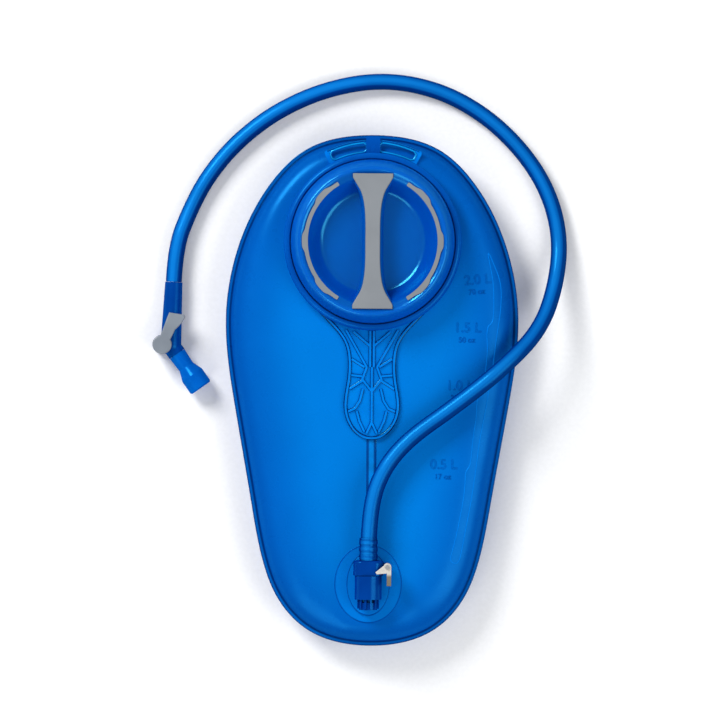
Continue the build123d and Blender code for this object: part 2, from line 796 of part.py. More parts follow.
ring_grooves = (4.2, 11.6)      # heights of the spindle's two O-rings
with BuildPart() as shutoff_spindle:
    with BuildSketch(Plane.XY.offset(3.0)):
        with Locations(spindle_centre):
            Circle(spindle_r)
    extrude(amount=boss_top_z + 0.2 - 3.0)
    for height in ring_grooves:
        with BuildSketch(Plane.XY.offset(height)):
            with Locations(spindle_centre):
                Circle(spindle_r + 1)
                Circle(spindle_r - 1.15, mode=Mode.SUBTRACT)
        extrude(amount=1.2, mode=Mode.SUBTRACT)
    with BuildSketch(Plane.XY.offset(valve_z - bore_r)):
        with Locations((spindle_centre[0] + 4.6, spindle_centre[1])):
            Rectangle(5.0, 10.0)
    extrude(amount=2 * bore_r - 0.3, mode=Mode.SUBTRACT)
report("shutoff_spindle", shutoff_spindle.part)

with BuildPart() as spindle_o_rings:
    for height in ring_grooves:
        with BuildSketch(Plane(origin=(*spindle_centre, 0), x_dir=(1, 0, 0), z_dir=(0, -1, 0))):
            with Locations((spindle_r - 0.57, height + 0.6)):
                Circle(0.5)
        revolve(axis=Axis((*spindle_centre, 0), (0, 0, 1)))
report("spindle_o_rings", spindle_o_rings.part)

# Lever: a disc over the spindle and a thumb blade lying along the valve
lever_bottom_z = boss_top_z + 0.2
blade_x = lever_tip[0] - spindle_centre[0]
blade_y = lever_tip[1] - spindle_centre[1]
blade_length = hypot(blade_x, blade_y)
blade_angle = degrees(atan2(blade_y, blade_x))
with BuildPart() as shutoff_lever:
    with BuildSketch(Plane.XY.offset(lever_bottom_z)):
        with Locations(spindle_centre):
            Circle(6.0)
        with BuildSketch(mode=Mode.PRIVATE) as blade:
            with BuildLine():
                Polyline((blade_length - 1.5, 4.6), (0, 3.0), (0, -3.3), (blade_length * 0.55, -3.4))
                Spline((blade_length * 0.55, -3.4), (blade_length * 0.85, -5.4), (blade_length + 1.5, -5.6))
                Line((blade_length + 1.5, -5.6), (blade_length - 1.5, 4.6))
            make_face()
            fillet(blade.vertices().group_by(Axis.X)[-1], 1.4)
        with Locations((spindle_centre[0], spindle_centre[1])):
            add(blade.sketch, rotation=blade_angle)
    extrude(amount=lever_thickness)
    fillet(shutoff_lever.faces().sort_by(Axis.Z)[-1].edges(), 0.9)
report("shutoff_lever", shutoff_lever.part)


# ---------------------------------------------------------------- bite valve
bite_plane = Plane(origin=elbow_point, x_dir=outlet_direction, z_dir=(0, 0, 1))
bite_axis = Axis(elbow_point, outlet_direction)
with BuildPart() as bite_valve:
    with BuildSketch(bite_plane):
        with BuildLine():
            Polyline(
                (neck_start, spout_r + running_gap),
                (neck_start, 5.5),
                (outlet_length - 16.0, bite_neck_r),
                (outlet_length - 9.6, bite_mouth_r),
                (outlet_length - 0.8, bite_mouth_r),
                (outlet_length, bite_mouth_r - 0.8),
                (outlet_length, 0),
                (outlet_length - 1.8, 0),
                (outlet_length - 1.8, bite_mouth_r - 1.8),
                (outlet_length - 8.6, bite_mouth_r - 1.8),
                (outlet_length - 8.6, spout_r + running_gap),
                close=True,
            )
        make_face()
    revolve(axis=bite_axis)
    with BuildSketch(outlet_way.offset(outlet_length - 2.5)):
        Rectangle(0.3, 8.0)
    extrude(amount=3, mode=Mode.SUBTRACT)
report("bite_valve", bite_valve.part)
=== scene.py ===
import math

import bmesh
import bpy
import numpy as np
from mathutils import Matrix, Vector


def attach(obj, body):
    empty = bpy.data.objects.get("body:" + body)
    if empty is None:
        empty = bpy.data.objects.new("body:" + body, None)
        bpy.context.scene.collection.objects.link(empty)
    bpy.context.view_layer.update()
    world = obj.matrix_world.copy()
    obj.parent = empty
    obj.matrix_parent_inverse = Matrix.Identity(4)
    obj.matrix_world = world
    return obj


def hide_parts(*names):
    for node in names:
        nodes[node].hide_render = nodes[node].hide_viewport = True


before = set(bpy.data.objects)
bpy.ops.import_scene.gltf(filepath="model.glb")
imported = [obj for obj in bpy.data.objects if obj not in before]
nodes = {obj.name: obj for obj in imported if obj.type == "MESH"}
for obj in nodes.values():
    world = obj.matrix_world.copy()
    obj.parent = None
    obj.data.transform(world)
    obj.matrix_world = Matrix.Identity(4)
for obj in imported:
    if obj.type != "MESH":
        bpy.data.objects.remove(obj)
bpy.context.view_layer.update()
scene = bpy.context.scene
scene.view_settings.view_transform = "Standard"

# ---------------------------------------------------------------- sizes, in metres
SEAM_Z = 0.020                  # the plane in which the two films are welded
CROWN_Z = 0.034                 # flat top of the front film
WELD = 0.003                    # width of the welded rim
PORT_HOLE = 0.0505              # radius of the front film's hole under the fill port
PORT = Vector((0.0, 0.0922, 0.0))
OUTLET = Vector((-0.0015, -0.120, 0.0))
HALF_OUTLINE = [
    (0.0, 0.159), (0.0428, 0.1491), (0.0623, 0.1305), (0.0822, 0.0933), (0.0911, 0.0437),
    (0.0859, -0.0059), (0.075, -0.0679), (0.0676, -0.1051), (0.0577, -0.1299),
    (0.0403, -0.1485), (0.0, -0.159),
]
HOSE_ROUTE = [
    (-0.0015, -0.105, 0.045), (-0.0015, -0.0795, 0.045), (0.0045, -0.053, 0.0445),
    (0.021, -0.031, 0.044), (0.052, -0.009, 0.044), (0.082, 0.015, 0.0445),
    (0.105, 0.039, 0.030), (0.115, 0.068, 0.014), (0.1175, 0.097, 0.0052),
    (0.110, 0.125, 0.0052), (0.094, 0.150, 0.0052), (0.071, 0.172, 0.0052),
    (0.042, 0.188, 0.0052), (0.008, 0.1945, 0.0052), (-0.026, 0.1895, 0.0052),
    (-0.058, 0.176, 0.0052), (-0.084, 0.1565, 0.0052), (-0.103, 0.134, 0.0052),
    (-0.1145, 0.112, 0.0052), (-0.1232, 0.0885, 0.0078), (-0.1241, 0.0671, 0.0078),
]


# ---------------------------------------------------------------- camera, light and floor
def aim(obj, target):
    """Turns a lamp to face a point."""
    direction = Vector(target) - obj.location
    obj.rotation_euler = direction.to_track_quat("-Z", "Y").to_euler()


def softbox(name, place, size, power, target=(0, 0, 0.02)):
    """A square area lamp aimed at the object."""
    data = bpy.data.lights.new(name, "AREA")
    data.size = size
    data.energy = power
    lamp = bpy.data.objects.new(name, data)
    scene.collection.objects.link(lamp)
    lamp.location = place
    aim(lamp, target)
    return lamp


camera_data = bpy.data.cameras.new("camera")
camera_data.sensor_width = 36.0
camera_height = 3.2
field = 0.4464                  # width of the photograph's view at the bag
camera_data.lens = 36.0 * (camera_height - 0.035) / field
camera = bpy.data.objects.new("camera", camera_data)
camera.location = (-0.0074, 0.0189, camera_height)
camera.rotation_euler = (0, 0, math.radians(0.35))
scene.collection.objects.link(camera)
scene.camera = camera

softbox("key_light", (-0.85, 0.95, 1.05), 0.6, 21)
softbox("fill_light", (1.2, -0.5, 1.3), 1.2, 15)
softbox("low_light", (-0.7, -1.2, 1.2), 1.0, 9)
world = bpy.data.worlds.new("studio")
world.use_nodes = True
world.node_tree.nodes["Background"].inputs["Color"].default_value = (0.93, 0.96, 1.0, 1)
world.node_tree.nodes["Background"].inputs["Strength"].default_value = 0.40
scene.world = world


# ---------------------------------------------------------------- materials
class Graph:
    """A material's node tree, filled one node at a time."""

    def __init__(self, name):
        self.material = bpy.data.materials.new(name)
        self.material.use_nodes = True
        self.tree = self.material.node_tree
        self.tree.nodes.clear()

    def add(self, kind, inputs=None, **settings):
        node = self.tree.nodes.new(kind)
        for key, value in settings.items():
            setattr(node, key, value)
        for key, value in (inputs or {}).items():
            if isinstance(value, bpy.types.NodeSocket):
                self.tree.links.new(value, node.inputs[key])
            else:
                node.inputs[key].default_value = value
        return node

    def noise(self, scale, detail=3.0):
        """Noise in the row frame; scale is in lumps per metre."""
        place = self.add("ShaderNodeTexCoord")
        inputs = {"Vector": place.outputs["Object"], "Scale": scale, "Detail": detail}
        return self.add("ShaderNodeTexNoise", inputs).outputs["Fac"]

    def ramp(self, factor, stops, smooth=True):
        """A colour ramp; each stop is (position, (r, g, b))."""
        node = self.add("ShaderNodeValToRGB", {"Fac": factor})
        node.color_ramp.interpolation = "EASE" if smooth else "LINEAR"
        elements = node.color_ramp.elements
        while len(elements) < len(stops):
            elements.new(0.5)
        for element, (position, colour) in zip(elements, stops):
            element.position = position
            element.color = (*colour, 1)
        return node.outputs["Color"]

    def spread(self, factor, low, high):
        """Maps 0.3 to 0.7 of a noise onto a range of values."""
        inputs = {"Value": factor, "From Min": 0.3, "From Max": 0.7, "To Min": low, "To Max": high}
        return self.add("ShaderNodeMapRange", inputs).outputs["Result"]

    def bump(self, factor, distance, strength=1.0, normal=None):
        inputs = {"Height": factor, "Distance": distance, "Strength": strength}
        if normal is not None:
            inputs["Normal"] = normal
        return self.add("ShaderNodeBump", inputs).outputs["Normal"]

    def mix_colour(self, factor, first, second, blend="MIX"):
        node = self.add("ShaderNodeMix", data_type="RGBA", blend_type=blend)
        for socket, value in ((0, factor), (6, first), (7, second)):
            if isinstance(value, bpy.types.NodeSocket):
                self.tree.links.new(value, node.inputs[socket])
            else:
                node.inputs[socket].default_value = value
        return node.outputs[2]

    def mix_shader(self, factor, first, second):
        node = self.add("ShaderNodeMixShader")
        for socket, value in ((0, factor), (1, first), (2, second)):
            if isinstance(value, bpy.types.NodeSocket):
                self.tree.links.new(value, node.inputs[socket])
            else:
                node.inputs[socket].default_value = value
        return node.outputs[0]

    def glaze(self, body, normal, roughness, colour, share):
        """Lays a thin tinted gloss over a matt body."""
        inputs = {"Color": colour, "Roughness": roughness, "Normal": normal}
        return self.mix_shader(share, body, self.add("ShaderNodeBsdfGlossy", inputs).outputs[0])

    def finish(self, surface):
        output = self.add("ShaderNodeOutputMaterial")
        self.tree.links.new(surface, output.inputs["Surface"])
        return self.material


BLUE_GLOSS = (0.03, 0.50, 1.0, 1)
NEUTRAL_GLOSS = (1.0, 1.0, 1.0, 1)


def plastic(name, dark, light, roughness=(0.25, 0.38), grain=900.0, bump=0.00002, gloss=BLUE_GLOSS,
            gloss_share=0.05, metallic=0.0):
    """Moulded plastic or rubber: slow colour drift, uneven gloss and a fine skin."""
    graph = Graph(name)
    normal = graph.bump(graph.noise(grain, 4.0), bump)
    rough = graph.spread(graph.noise(140.0), *roughness)
    body = graph.add("ShaderNodeBsdfPrincipled", {
        "Base Color": graph.ramp(graph.noise(28.0), [(0.3, dark), (0.7, light)]),
        "Roughness": rough,
        "Specular IOR Level": 0.0,
        "Metallic": metallic,
        "Normal": normal,
    })
    return graph.finish(graph.glaze(body.outputs[0], normal, rough, gloss, gloss_share))


def film_material():
    """Blue film: welded rim lines, then painted shade: deep blue near the rim where the film slopes and brighter
    on the flat front.
    """
    graph = Graph("blue_film")
    rim = graph.add("ShaderNodeAttribute", attribute_name="rim").outputs["Fac"]
    depth = graph.add("ShaderNodeAttribute", attribute_name="depth").outputs["Fac"]
    # Colour by distance in from the outline: a dark outer line, a light band and a dark line along the weld's
    # groove, then painted shade that lightens over the sloping border towards the flat front.
    slope = graph.ramp(rim, [
        (0.0, (0.0, 0.028, 0.19)),
        (0.014, (0.0, 0.05, 0.27)),
        (0.024, (0.0, 0.23, 0.76)),
        (0.052, (0.0, 0.23, 0.76)),
        (0.066, (0.0, 0.045, 0.27)),
        (0.084, (0.0, 0.045, 0.27)),
        (0.108, (0.0, 0.155, 0.62)),
        (0.45, (0.0, 0.20, 0.72)),
    ])
    # Painted shade: green and blue are darkened over a wide band in from the outline, fading out by about 51 mm
    # in.
    broad_shade = graph.ramp(depth, [(0.12, (1.0, 0.56, 0.72)), (0.85, (1.0, 1.0, 1.0))])
    mottle = graph.ramp(graph.noise(14.0, 2.0), [(0.3, (0.93, 0.93, 0.93)), (0.7, (1.0, 1.0, 1.0))])
    colour = graph.mix_colour(1.0, graph.mix_colour(1.0, slope, broad_shade, "MULTIPLY"), mottle, "MULTIPLY")
    skin = graph.bump(graph.noise(2600.0, 2.0), 0.00001)
    waves = graph.bump(graph.noise(45.0, 1.0), 0.0006, 0.35, skin)
    rough = graph.spread(graph.noise(90.0), 0.24, 0.34)
    surface = graph.add("ShaderNodeBsdfPrincipled", {
        "Base Color": colour,
        "Roughness": rough,
        "Specular IOR Level": 0.0,
        "Normal": waves,
    })
    glow = graph.add("ShaderNodeBsdfTranslucent", {"Color": colour, "Normal": waves})
    body = graph.mix_shader(0.15, surface.outputs[0], glow.outputs[0])
    return graph.finish(graph.glaze(body, waves, rough, BLUE_GLOSS, 0.045))


def tube_material(name, banded=False):
    """Blue tube with painted light: brighter where it faces up and to the upper left, deep blue on its flanks as
    painted shade.
    """
    graph = Graph(name)
    place = graph.add("ShaderNodeTexCoord")
    # Painted light: the colour follows how far the surface faces up and a little to the upper left, towards the
    # key lamp.
    painted_light_facing = graph.add("ShaderNodeVectorMath", {0: place.outputs["Normal"], 1: (-0.22, 0.22, 0.95)},
                       operation="DOT_PRODUCT").outputs["Value"]
    colour = graph.ramp(painted_light_facing, [
        (0.25, (0.0, 0.018, 0.15)),
        (0.68, (0.0, 0.032, 0.22)),
        (0.88, (0.001, 0.11, 0.44)),
        (0.98, (0.003, 0.165, 0.56)),
    ])
    drift = graph.ramp(graph.noise(35.0), [(0.3, (0.90, 0.90, 0.90)), (0.7, (1.0, 1.0, 1.0))])
    colour = graph.mix_colour(1.0, colour, drift, "MULTIPLY")
    normal = graph.bump(graph.noise(700.0, 2.0), 0.00001)
    if banded:
        wave = graph.add("ShaderNodeTexWave", {"Vector": place.outputs["Object"], "Scale": 92.0},
                         bands_direction="Y").outputs["Fac"]
        # Painted shade: the troughs between the sleeve's bands are darkened.
        shade = graph.ramp(wave, [(0.25, (0.70, 0.70, 0.80)), (0.6, (1.0, 1.0, 1.0))])
        colour = graph.mix_colour(1.0, colour, shade, "MULTIPLY")
        normal = graph.bump(wave, 0.0002, 1.0, normal)
    rough = graph.spread(graph.noise(160.0), 0.16, 0.26)
    body = graph.add("ShaderNodeBsdfPrincipled", {
        "Base Color": colour,
        "Roughness": rough,
        "Specular IOR Level": 0.0,
        "Normal": normal,
    })
    return graph.finish(graph.glaze(body.outputs[0], normal, rough, BLUE_GLOSS, 0.035))


def ribbed_material(name, middle, edge, gloss_share, fade=(0.30, 0.62)):
    """Raised clear rib with painted light: a painted highlight along its middle and painted shade along both
    edges.
    fade gives where the light middle ends and where the dark edge starts."""
    graph = Graph(name)
    across = graph.add("ShaderNodeAttribute", attribute_name="across").outputs["Fac"]
    # Painted highlight in the middle of the bead, painted shade towards both edges.
    colour = graph.ramp(across, [(fade[0], middle), (fade[1], edge), (1.0, edge)])
    drift = graph.ramp(graph.noise(120.0), [(0.3, (0.75, 0.75, 0.75)), (0.7, (1.0, 1.0, 1.0))])
    normal = graph.bump(graph.noise(600.0), 0.00004)
    rough = graph.spread(graph.noise(260.0), 0.08, 0.20)
    body = graph.add("ShaderNodeBsdfPrincipled", {
        "Base Color": graph.mix_colour(1.0, colour, drift, "MULTIPLY"),
        "Roughness": rough,
        "Specular IOR Level": 0.0,
        "Normal": normal,
    })
    return graph.finish(graph.glaze(body.outputs[0], normal, rough, (0.10, 0.75, 1.0, 1), gloss_share))


def latch_material():
    """Off-white lever whose lower leg is painted darker as painted shade."""
    graph = Graph("latch_white")
    place = graph.add("ShaderNodeTexCoord").outputs["Object"]
    height = graph.add("ShaderNodeSeparateXYZ", {"Vector": place}).outputs["Y"]
    share = graph.add("ShaderNodeMapRange", {"Value": height, "From Min": -0.1150, "From Max": -0.1128}).outputs[0]
    # Painted shade: below about Y = -0.113 m the lever turns dark brown-grey.
    colour = graph.ramp(share, [(0.0, (0.17, 0.14, 0.105)), (1.0, (0.60, 0.57, 0.52))])
    grain = graph.ramp(graph.noise(300.0), [(0.3, (0.86, 0.86, 0.86)), (0.7, (1.0, 1.0, 1.0))])
    normal = graph.bump(graph.noise(1500.0), 0.00003)
    rough = graph.spread(graph.noise(140.0), 0.35, 0.5)
    body = graph.add("ShaderNodeBsdfPrincipled", {
        "Base Color": graph.mix_colour(1.0, colour, grain, "MULTIPLY"),
        "Roughness": rough,
        "Specular IOR Level": 0.0,
        "Normal": normal,
    })
    return graph.finish(graph.glaze(body.outputs[0], normal, rough, NEUTRAL_GLOSS, 0.04))


def clear_material(name, tint, deep, body_share, edge_share):
    """Clear flexible plastic that is seen through face on and is deeper along its edges."""
    graph = Graph(name)
    facing = graph.add("ShaderNodeLayerWeight", {"Blend": 0.35}).outputs["Facing"]
    share = graph.add("ShaderNodeMapRange", {
        "Value": facing,
        "From Min": 0.05,
        "From Max": 0.75,
        "To Min": body_share,
        "To Max": edge_share,
    }).outputs["Result"]
    see_through = graph.add("ShaderNodeBsdfTransparent", {"Color": (*tint, 1)})
    skin = graph.bump(graph.noise(500.0), 0.00003)
    rough = graph.spread(graph.noise(200.0), 0.08, 0.18)
    light = tuple(min(1.0, 1.25 * value) for value in deep)
    surface = graph.add("ShaderNodeBsdfPrincipled", {
        "Base Color": graph.ramp(graph.noise(60.0), [(0.3, deep), (0.7, light)]),
        "Roughness": rough,
        "Specular IOR Level": 0.0,
        "Normal": skin,
    })
    glossy = graph.glaze(surface.outputs[0], skin, rough, BLUE_GLOSS, 0.05)
    return graph.finish(graph.mix_shader(share, see_through.outputs[0], glossy))


def cap_material():
    """Cap plastic painted by radius, with painted light and shade: a bright ring, a darker outer edge, slightly
    darker pocket walls and a mid-blue pocket floor; a bump rounds the ring.
    """
    graph = Graph("cap_plastic")
    place = graph.add("ShaderNodeTexCoord").outputs["Object"]
    from_axis = graph.add("ShaderNodeVectorMath", {0: place, 1: tuple(PORT)}, operation="SUBTRACT")
    flat = graph.add("ShaderNodeVectorMath", {0: from_axis.outputs[0], 1: (1.0, 1.0, 0.0)}, operation="MULTIPLY")
    radius = graph.add("ShaderNodeVectorMath", {0: flat.outputs[0]}, operation="LENGTH").outputs["Value"]
    share = graph.add("ShaderNodeMapRange", {"Value": radius, "From Min": 0.028, "From Max": 0.052}).outputs[0]
    # Colour by radius from the port's axis: pocket walls a little darker as painted shade, the ring's top lighter
    # as painted light and its outer edge darker as painted shade.
    shade_bands = graph.ramp(share, [
        (0.0, (0.0, 0.082, 0.42)),
        (0.13, (0.0, 0.076, 0.40)),
        (0.22, (0.0, 0.070, 0.42)),
        (0.45, (0.0, 0.075, 0.45)),
        (0.52, (0.0, 0.085, 0.46)),
        (0.80, (0.0, 0.100, 0.54)),
        (1.0, (0.0, 0.050, 0.34)),
    ])
    drift = graph.ramp(graph.noise(30.0), [(0.3, (0.92, 0.92, 0.92)), (0.7, (1, 1, 1))])
    dome = graph.ramp(share, [(0.46, (0, 0, 0)), (0.71, (1, 1, 1)), (0.94, (0, 0, 0))])
    skin = graph.bump(graph.noise(800.0), 0.00001)
    normal = graph.bump(dome, 0.0030, 1.0, skin)
    rough = graph.spread(graph.noise(120.0), 0.14, 0.22)
    body = graph.add("ShaderNodeBsdfPrincipled", {
        "Base Color": graph.mix_colour(1.0, shade_bands, drift, "MULTIPLY"),
        "Roughness": rough,
        "Specular IOR Level": 0.0,
        "Subsurface Weight": 0.25,
        "Subsurface Radius": (0.05, 0.5, 1.0),
        "Subsurface Scale": 0.003,
        "Normal": normal,
    })
    return graph.finish(graph.glaze(body.outputs[0], normal, rough, (0.08, 0.70, 1.0, 1), 0.09))


film = film_material()
cap_plastic = cap_material()
port_plastic = plastic("port_plastic", (0.0, 0.06, 0.36), (0.0, 0.08, 0.42), (0.2, 0.3))
outlet_plastic = plastic("outlet_plastic", (0.0, 0.023, 0.20), (0.0, 0.042, 0.29), (0.15, 0.25))
grey_grip = plastic(
    "grey_grip", (0.185, 0.20, 0.218), (0.21, 0.226, 0.244), (0.45, 0.6), 1500.0, 0.00004, NEUTRAL_GLOSS, 0.03)
lever_grey = plastic(
    "lever_grey", (0.145, 0.168, 0.20), (0.20, 0.228, 0.265), (0.3, 0.45), 1500.0, 0.00003, NEUTRAL_GLOSS, 0.05)
latch_white = latch_material()
valve_plastic = plastic("valve_plastic", (0.0, 0.026, 0.21), (0.0, 0.045, 0.29), (0.2, 0.3))
bite_silicone = plastic("bite_silicone", (0.0, 0.08, 0.42), (0.0, 0.105, 0.50), (0.2, 0.32), 700.0, 0.00003)
seal_rubber = plastic(
    "seal_rubber", (0.012, 0.012, 0.014), (0.03, 0.03, 0.032), (0.5, 0.7), 1200.0, 0.00003, NEUTRAL_GLOSS, 0.03)
steel = plastic(
    "spring_steel", (0.45, 0.45, 0.46), (0.6, 0.6, 0.6), (0.2, 0.35), 2500.0, 0.00001, NEUTRAL_GLOSS, 0.3, 1.0)
clear_plate = clear_material("clear_plate", (1.0, 1.0, 1.0), (0.0, 0.235, 0.86), 0.60, 0.70)
# The rib, edge, slot and baffle beads carry a painted highlight along their middles and painted shade along their
# edges.
clear_rib = ribbed_material("clear_rib", (0.0, 0.18, 0.66), (0.0, 0.020, 0.18), 0.05, (0.22, 0.50))
clear_edge = ribbed_material("clear_edge", (0.0, 0.13, 0.52), (0.0, 0.012, 0.13), 0.05, (0.22, 0.50))
# Painted glint: the slot beads' middles are painted light cyan.
slot_glint_rim = ribbed_material("slot_glint_rim", (0.0, 0.33, 0.80), (0.0, 0.12, 0.50), 0.10)
baffle_rib = ribbed_material("baffle_rib", (0.0, 0.24, 0.82), (0.0, 0.05, 0.30), 0.05)
tube_wall = tube_material("tube_wall")
tube_sleeve = tube_material("tube_sleeve", True)
film_patch = plastic("film_patch", (0.0, 0.152, 0.59), (0.0, 0.165, 0.62), (0.24, 0.34), 2600.0, 0.00001)

NODE_MATERIALS = {
    "center_baffle": film_patch,
    "port_base_plate": clear_plate,
    "port_hanger": clear_plate,
    "port_center_tab": port_plastic,
    "fill_port_ring": port_plastic,
    "cap_shell": cap_plastic,
    "cap_inner_plug": port_plastic,
    "cap_seal": seal_rubber,
    "cap_grip_bar": grey_grip,
    "cap_grip_arc_right": grey_grip,
    "cap_grip_arc_left": grey_grip,
    "outlet_base_plate": film_patch,
    "outlet_port_body": outlet_plastic,
    "outlet_poppet": outlet_plastic,
    "outlet_spring": steel,
    "connector_body": outlet_plastic,
    "connector_o_ring": seal_rubber,
    "release_lever_pin": steel,
    "release_spring": steel,
    "connector_release_lever": latch_white,
    "hose_collar": tube_sleeve,
    "shutoff_body": valve_plastic,
    "shutoff_spindle": valve_plastic,
    "spindle_o_rings": seal_rubber,
    "shutoff_lever": lever_grey,
    "bite_valve": bite_silicone,
}
for name, material in NODE_MATERIALS.items():
    for slot in nodes[name].material_slots:
        slot.material = material


# ---------------------------------------------------------------- drink hose
def tube(name, route, radius, material):
    """A round tube on a smooth curve through a route's control points."""
    data = bpy.data.curves.new(name, "CURVE")
    data.dimensions = "3D"
    data.bevel_depth = radius
    data.bevel_resolution = 8
    data.resolution_u = 16
    data.use_fill_caps = True
    spline = data.splines.new("NURBS")
    spline.points.add(len(route) - 1)
    for point, place in zip(spline.points, route):
        point.co = (*place, 1.0)
    spline.order_u = 3
    spline.use_endpoint_u = True
    data.materials.append(material)
    obj = bpy.data.objects.new(name, data)
    scene.collection.objects.link(obj)
    return obj


hose = tube("hose_tube", HOSE_ROUTE, 0.005, tube_wall)
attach(hose, "connector")
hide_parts("drink_hose")


# ---------------------------------------------------------------- bag films
def closed_spline(points, count):
    """Evenly numbered points and outward normals on a smooth closed curve through the points."""
    ring = np.array(points)
    number = len(ring)
    chords = np.linalg.norm(np.roll(ring, -1, axis=0) - ring, axis=1)
    before = np.roll(chords, 1)
    system = np.zeros((number, number))
    right = np.zeros((number, 2))
    for i in range(number):
        system[i, i] = 2 * (before[i] + chords[i])
        system[i, (i - 1) % number] += before[i]
        system[i, (i + 1) % number] += chords[i]
        ahead = (ring[(i + 1) % number] - ring[i]) / chords[i]
        behind = (ring[i] - ring[i - 1]) / before[i]
        right[i] = 6 * (ahead - behind)
    bend = np.linalg.solve(system, right)
    knots = np.concatenate([[0], np.cumsum(chords)])
    places, normals = [], []
    for distance in np.linspace(0, knots[-1], count, endpoint=False):
        i = min(int(np.searchsorted(knots, distance, side="right")) - 1, number - 1)
        j = (i + 1) % number
        span = chords[i]
        s = distance - knots[i]
        slope = (ring[j] - ring[i]) / span - span * (2 * bend[i] + bend[j]) / 6
        places.append(ring[i] + slope * s + bend[i] * s ** 2 / 2 + (bend[j] - bend[i]) * s ** 3 / (6 * span))
        along = slope + bend[i] * s + (bend[j] - bend[i]) * s ** 2 / (2 * span)
        along /= np.linalg.norm(along)
        normals.append((-along[1], along[0]))
    return np.array(places), np.array(normals)


outline_ring = HALF_OUTLINE + [(-x, y) for x, y in reversed(HALF_OUTLINE[1:-1])]
edge_points, edge_normals = closed_spline(outline_ring, 360)


def smooth_step(low, high, value):
    share = min(1.0, max(0.0, (value - low) / (high - low)))
    return share * share * (3 - 2 * share)


def border_width(x, y):
    """How far in from the rim the front film takes to reach its flat top."""
    top = smooth_step(0.060, 0.125, y)
    bottom = smooth_step(-0.130, -0.155, y) * (1 - smooth_step(0.015, 0.040, abs(x)))
    return 0.026 - 0.011 * max(top, bottom)


def pillow_height(inset, width, rise, power):
    """Height above the rim at one distance from the outline."""
    share = min(1.0, max(0.0, (inset - WELD) / (width - WELD)))
    return rise * (1 - (1 - share) ** power) ** (1 / power)


INSETS = [
    0.0, 0.0001, 0.0003, 0.0007, 0.0012, 0.0018, 0.0024, 0.0027, 0.0030, 0.0032, 0.0036, 0.0042,
    0.0050, 0.0060, 0.0072, 0.0086, 0.0102, 0.0120, 0.0140, 0.0162, 0.0186, 0.0212, 0.0240, 0.0270,
]


def rim_relief(inset):
    """The weld's own shape: a rounded outer bead and a shallow groove before the pillow."""
    bead = 0.0004 * math.exp(-((inset - 0.0006) / 0.0005) ** 2)
    middle = 0.00015 * math.exp(-((inset - 0.0018) / 0.0005) ** 2)
    return bead + middle - 0.0004


def film_mesh(name, height_at, flip, hole=0.0):
    """A welded film as rings that follow the outline inwards, then run to the middle line.
    Faces within the hole's radius of the fill port are left out, and the two sides are joined
    along the middle line."""
    rings = []
    for inset in INSETS:
        ring = edge_points - edge_normals * inset
        rings.append([(x, y, inset) for x, y in ring])
    last = edge_points - edge_normals * INSETS[-1]
    for step in range(1, 27):
        share = step / 26
        ring = []
        for x, y in last:
            middle = max(-0.085, min(0.100, 0.72 * y))
            new_x = x * (1 - share)
            new_y = y + (middle - y) * share
            ring.append((new_x, new_y, INSETS[-1] + share * math.hypot(x, y - middle)))
        rings.append(ring)
    vertices = []
    insets = []
    for ring in rings:
        for number, (x, y, inset) in enumerate(ring):
            vertices.append((x, y, height_at(x, y, inset, edge_points[number])))
            insets.append(inset)
    count = len(edge_points)
    faces = []
    for row in range(len(rings) - 1):
        for i in range(count):
            j = (i + 1) % count
            a, b = row * count + i, row * count + j
            c, d = (row + 1) * count + j, (row + 1) * count + i
            middle_x = (vertices[a][0] + vertices[c][0]) / 2
            middle_y = (vertices[a][1] + vertices[c][1]) / 2
            if math.hypot(middle_x - PORT.x, middle_y - PORT.y) > hole:
                faces.append((a, b, c, d) if flip else (a, d, c, b))
    mesh = bpy.data.meshes.new(name)
    mesh.from_pydata(vertices, [], faces)
    # Distances in from the outline; the film's shader paints its rim lines and painted shade from them.
    for title, reach in (("rim", 1 / 30), ("depth", 0.060)):
        attribute = mesh.attributes.new(title, "FLOAT", "POINT")
        attribute.data.foreach_set("value", [inset / reach for inset in insets])
    joined = bmesh.new()
    joined.from_mesh(mesh)
    bmesh.ops.remove_doubles(joined, verts=joined.verts, dist=1e-6)
    loose = [vertex for vertex in joined.verts if not vertex.link_faces]
    bmesh.ops.delete(joined, geom=loose, context="VERTS")
    joined.to_mesh(mesh)
    joined.free()
    for polygon in mesh.polygons:
        polygon.use_smooth = True
    mesh.materials.append(film)
    obj = bpy.data.objects.new(name, mesh)
    scene.collection.objects.link(obj)
    return obj


def front_height(x, y, inset, edge):
    if inset < WELD:
        return SEAM_Z + 0.0008 + rim_relief(inset)
    width = border_width(*edge)
    return SEAM_Z + 0.0006 + pillow_height(inset, width, CROWN_Z - SEAM_Z - 0.0006, 2.0)


def back_height(x, y, inset, edge):
    if inset < WELD:
        return SEAM_Z - 0.0008 - rim_relief(inset)
    return SEAM_Z - 0.0006 - pillow_height(inset, 0.034, SEAM_Z - 0.0006, 2.2)


film_front = film_mesh("film_front", front_height, False, PORT_HOLE)
film_back = film_mesh("film_back", back_height, True)
for piece, node in ((film_front, "front_film"), (film_back, "back_film")):
    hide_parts(node)
    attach(piece, "bag")


# ---------------------------------------------------------------- welds and scale on the film
def film_top(x, y):
    """Height of the front film at a point inside the outline."""
    offsets = edge_points - np.array((x, y))
    nearest = int(np.argmin((offsets ** 2).sum(axis=1)))
    inset = float(offsets[nearest] @ edge_normals[nearest])
    return front_height(x, y, inset, edge_points[nearest])


